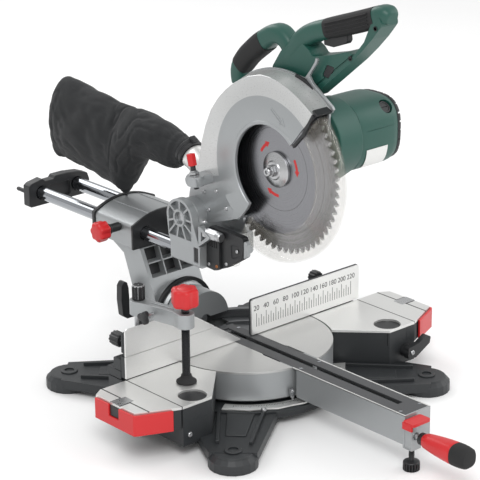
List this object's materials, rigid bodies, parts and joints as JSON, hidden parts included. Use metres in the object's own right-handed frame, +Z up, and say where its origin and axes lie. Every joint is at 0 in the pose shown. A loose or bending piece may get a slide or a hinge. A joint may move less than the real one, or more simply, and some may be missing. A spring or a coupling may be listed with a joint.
{
  "type": "sliding compound mitre saw",
  "caption": "Sliding compound mitre saw on a cast four-footed base, with a mitring table, bevelling rail arm, guarded blade, clamp and dust bag.",
  "frame": {"origin": "middle of the footprint box, on the ground", "axes": "+X to the user's right, +Y away from the user along the rails, +Z up; the blade stands in a plane through the origin"},
  "size_m": [0.604, 0.977, 0.635],
  "materials": {
    "casting": "satin",
    "machined": "machined",
    "black": "textured",
    "black_casting": "powder coated",
    "steel": "brushed",
    "chrome": "polished",
    "green": "satin",
    "red": "satin",
    "dark_grey": "satin",
    "rubber": "matte",
    "clear": "clear",
    "fabric": "woven",
    "copper": "satin"
  },
  "bodies": {
    "base": {"base_casting": "black_casting", "left_table": "machined", "right_table": "machined", "mitre_scale": "steel", "left_fence_lower": "machined", "right_fence_carrier": "black_casting", "clamp_post": "steel"},
    "left_fence": {"left_fence_upper": "machined"},
    "right_fence": {"right_fence": "machined"},
    "left_fence_knob": {"left_fence_knob": "black"},
    "right_fence_knob": {"right_fence_knob": "black"},
    "left_extension": {"left_extension": "machined", "left_end_cap": "red"},
    "right_extension": {"right_extension": "machined", "right_end_cap": "red"},
    "right_lock_lever": {"right_lock_lever": "black"},
    "clamp_arm": {"clamp_arm": "casting"},
    "clamp_wing_screw": {"clamp_wing_screw": "black"},
    "clamp_spindle": {"clamp_spindle": "steel", "clamp_pad": "rubber", "clamp_knob": "red"},
    "turntable": {"turntable": "casting", "kerf_plate": "dark_grey", "mitre_pointer": "copper", "handle_block": "casting", "bevel_pivot_bolt": "steel"},
    "mitre_handle": {"lock_rod": "steel", "handle_grip": "red"},
    "detent_lever": {"detent_lever": "red"},
    "adjustable_foot": {"adjustable_foot": "black"},
    "bevel_arm": {"bevel_arm": "casting", "front_cover": "black", "rear_cover": "black"},
    "slide_lock": {"slide_lock_knob": "red"},
    "bevel_lever": {"bevel_lock_lever": "black"},
    "carriage": {"left_rail": "chrome", "right_rail": "chrome", "rail_end_cap": "black", "head_bracket": "casting", "pivot_pin": "steel", "light_box": "black"},
    "head": {"upper_guard": "casting", "drive_case": "casting", "return_spring": "steel", "belt_cover": "black", "motor_housing": "green", "motor_end_cap": "black", "drive_belt": "rubber", "main_handle": "green", "carry_handle": "green", "dust_port": "steel", "dust_bag": "fabric"},
    "blade": {"saw_blade": "steel", "arbor_flange": "steel", "spindle": "steel"},
    "armature": {"armature": "copper"},
    "lower_guard": {"lower_guard": "clear"},
    "trigger": {"trigger": "black"},
    "lock_button": {"lock_off_button": "black"},
    "depth_stop": {"depth_stop_screw": "red"}
  },
  "joints": [
    {"name": "mitre_swing", "type": "hinge", "parent": "base", "child": "turntable", "pos_m": [0, -0.0115, 0.08], "axis": [0, 0, 1], "range_deg": [-47, 47]},
    {"name": "bevel_tilt", "type": "hinge", "parent": "turntable", "child": "bevel_arm", "pos_m": [0, 0.1585, 0.08], "axis": [0, 1, 0], "range_deg": [-40, 0]},
    {"name": "carriage_slide", "type": "slide", "parent": "bevel_arm", "child": "carriage", "axis": [0, -1, 0], "range_m": [-0.068, 0.165]},
    {"name": "head_chop", "type": "hinge", "parent": "carriage", "child": "head", "pos_m": [0, 0.0785, 0.263], "axis": [1, 0, 0], "range_deg": [0, 51], "stiffness_Nm_per_rad": 11, "springref_deg": -85.94},
    {"name": "lower_guard_swing", "type": "hinge", "parent": "head", "child": "lower_guard", "pos_m": [0, -0.0835, 0.367], "axis": [1, 0, 0], "range_deg": [-131, 0]},
    {"name": "blade_spin", "type": "hinge", "parent": "head", "child": "blade", "pos_m": [0, -0.0835, 0.367], "axis": [1, 0, 0], "continuous": true},
    {"name": "armature_spin", "type": "hinge", "parent": "head", "child": "armature", "pos_m": [0, -0.1415, 0.42], "axis": [1, 0, 0], "continuous": true},
    {"name": "left_fence_slide", "type": "slide", "parent": "base", "child": "left_fence", "axis": [-1, 0, 0], "range_m": [0, 0.08]},
    {"name": "right_fence_slide", "type": "slide", "parent": "base", "child": "right_fence", "axis": [1, 0, 0], "range_m": [0, 0.06]},
    {"name": "left_fence_knob_turn", "type": "hinge", "parent": "left_fence", "child": "left_fence_knob", "pos_m": [-0.222, 0.0085, 0.132], "axis": [0, 1, 0], "range_deg": [-90, 90]},
    {"name": "right_fence_knob_turn", "type": "hinge", "parent": "base", "child": "right_fence_knob", "pos_m": [0.178, 0.0085, 0.106], "axis": [0, 1, 0], "range_deg": [-90, 90]},
    {"name": "left_extension_slide", "type": "slide", "parent": "base", "child": "left_extension", "axis": [-1, 0, 0], "range_m": [0, 0.07]},
    {"name": "right_extension_slide", "type": "slide", "parent": "base", "child": "right_extension", "axis": [1, 0, 0], "range_m": [0, 0.07]},
    {"name": "right_lock_lever_turn", "type": "hinge", "parent": "base", "child": "right_lock_lever", "pos_m": [0.212, -0.1385, 0.04], "axis": [0, 1, 0], "range_deg": [-20, 60]},
    {"name": "clamp_arm_swing", "type": "hinge", "parent": "base", "child": "clamp_arm", "pos_m": [-0.19, 0.0105, 0.08], "axis": [0, 0, 1], "range_deg": [-25, 25]},
    {"name": "clamp_wing_screw_turn", "type": "hinge", "parent": "clamp_arm", "child": "clamp_wing_screw", "pos_m": [-0.206, -0.0275, 0.177], "axis": [1, 0, 0], "range_deg": [-90, 90]},
    {"name": "clamp_spindle_feed", "type": "slide", "parent": "clamp_arm", "child": "clamp_spindle", "axis": [0, 0, 1], "range_m": [0, 0.03]},
    {"name": "mitre_handle_turn", "type": "hinge", "parent": "turntable", "child": "mitre_handle", "pos_m": [-0.02, -0.3705, 0.053], "axis": [0, 1, 0], "range_deg": [-180, 180]},
    {"name": "detent_lever_lift", "type": "hinge", "parent": "turntable", "child": "detent_lever", "pos_m": [-0.02, -0.3725, 0.073], "axis": [1, 0, 0], "range_deg": [-12, 0], "stiffness_Nm_per_rad": 0.5, "springref_deg": 28.65},
    {"name": "adjustable_foot_feed", "type": "slide", "parent": "turntable", "child": "adjustable_foot", "axis": [0, 0, 1], "range_m": [0, 0.012]},
    {"name": "slide_lock_turn", "type": "hinge", "parent": "bevel_arm", "child": "slide_lock", "pos_m": [-0.062, 0.2165, 0.216], "axis": [1, 0, 0], "range_deg": [-90, 90]},
    {"name": "bevel_lever_turn", "type": "hinge", "parent": "bevel_arm", "child": "bevel_lever", "pos_m": [0, 0.1985, 0.08], "axis": [0, 1, 0], "range_deg": [0, 10]},
    {"name": "trigger_pull", "type": "slide", "parent": "head", "child": "trigger", "axis": [0, 0, 1], "range_m": [0, 0.005], "stiffness_N_per_m": 600, "springref_m": -0.004},
    {"name": "lock_button_press", "type": "slide", "parent": "head", "child": "lock_button", "axis": [0, 0, -1], "range_m": [0, 0.003], "stiffness_N_per_m": 600, "springref_m": -0.002},
    {"name": "depth_stop_feed", "type": "slide", "parent": "head", "child": "depth_stop", "axis": [0, 0.2419, 0.9703], "range_m": [0, 0.012]}
  ],
  "couplings": [
    {"joint": "lower_guard_swing", "follows": "head_chop", "ratio": -2.55},
    {"joint": "armature_spin", "follows": "blade_spin", "ratio": 3}
  ]
}
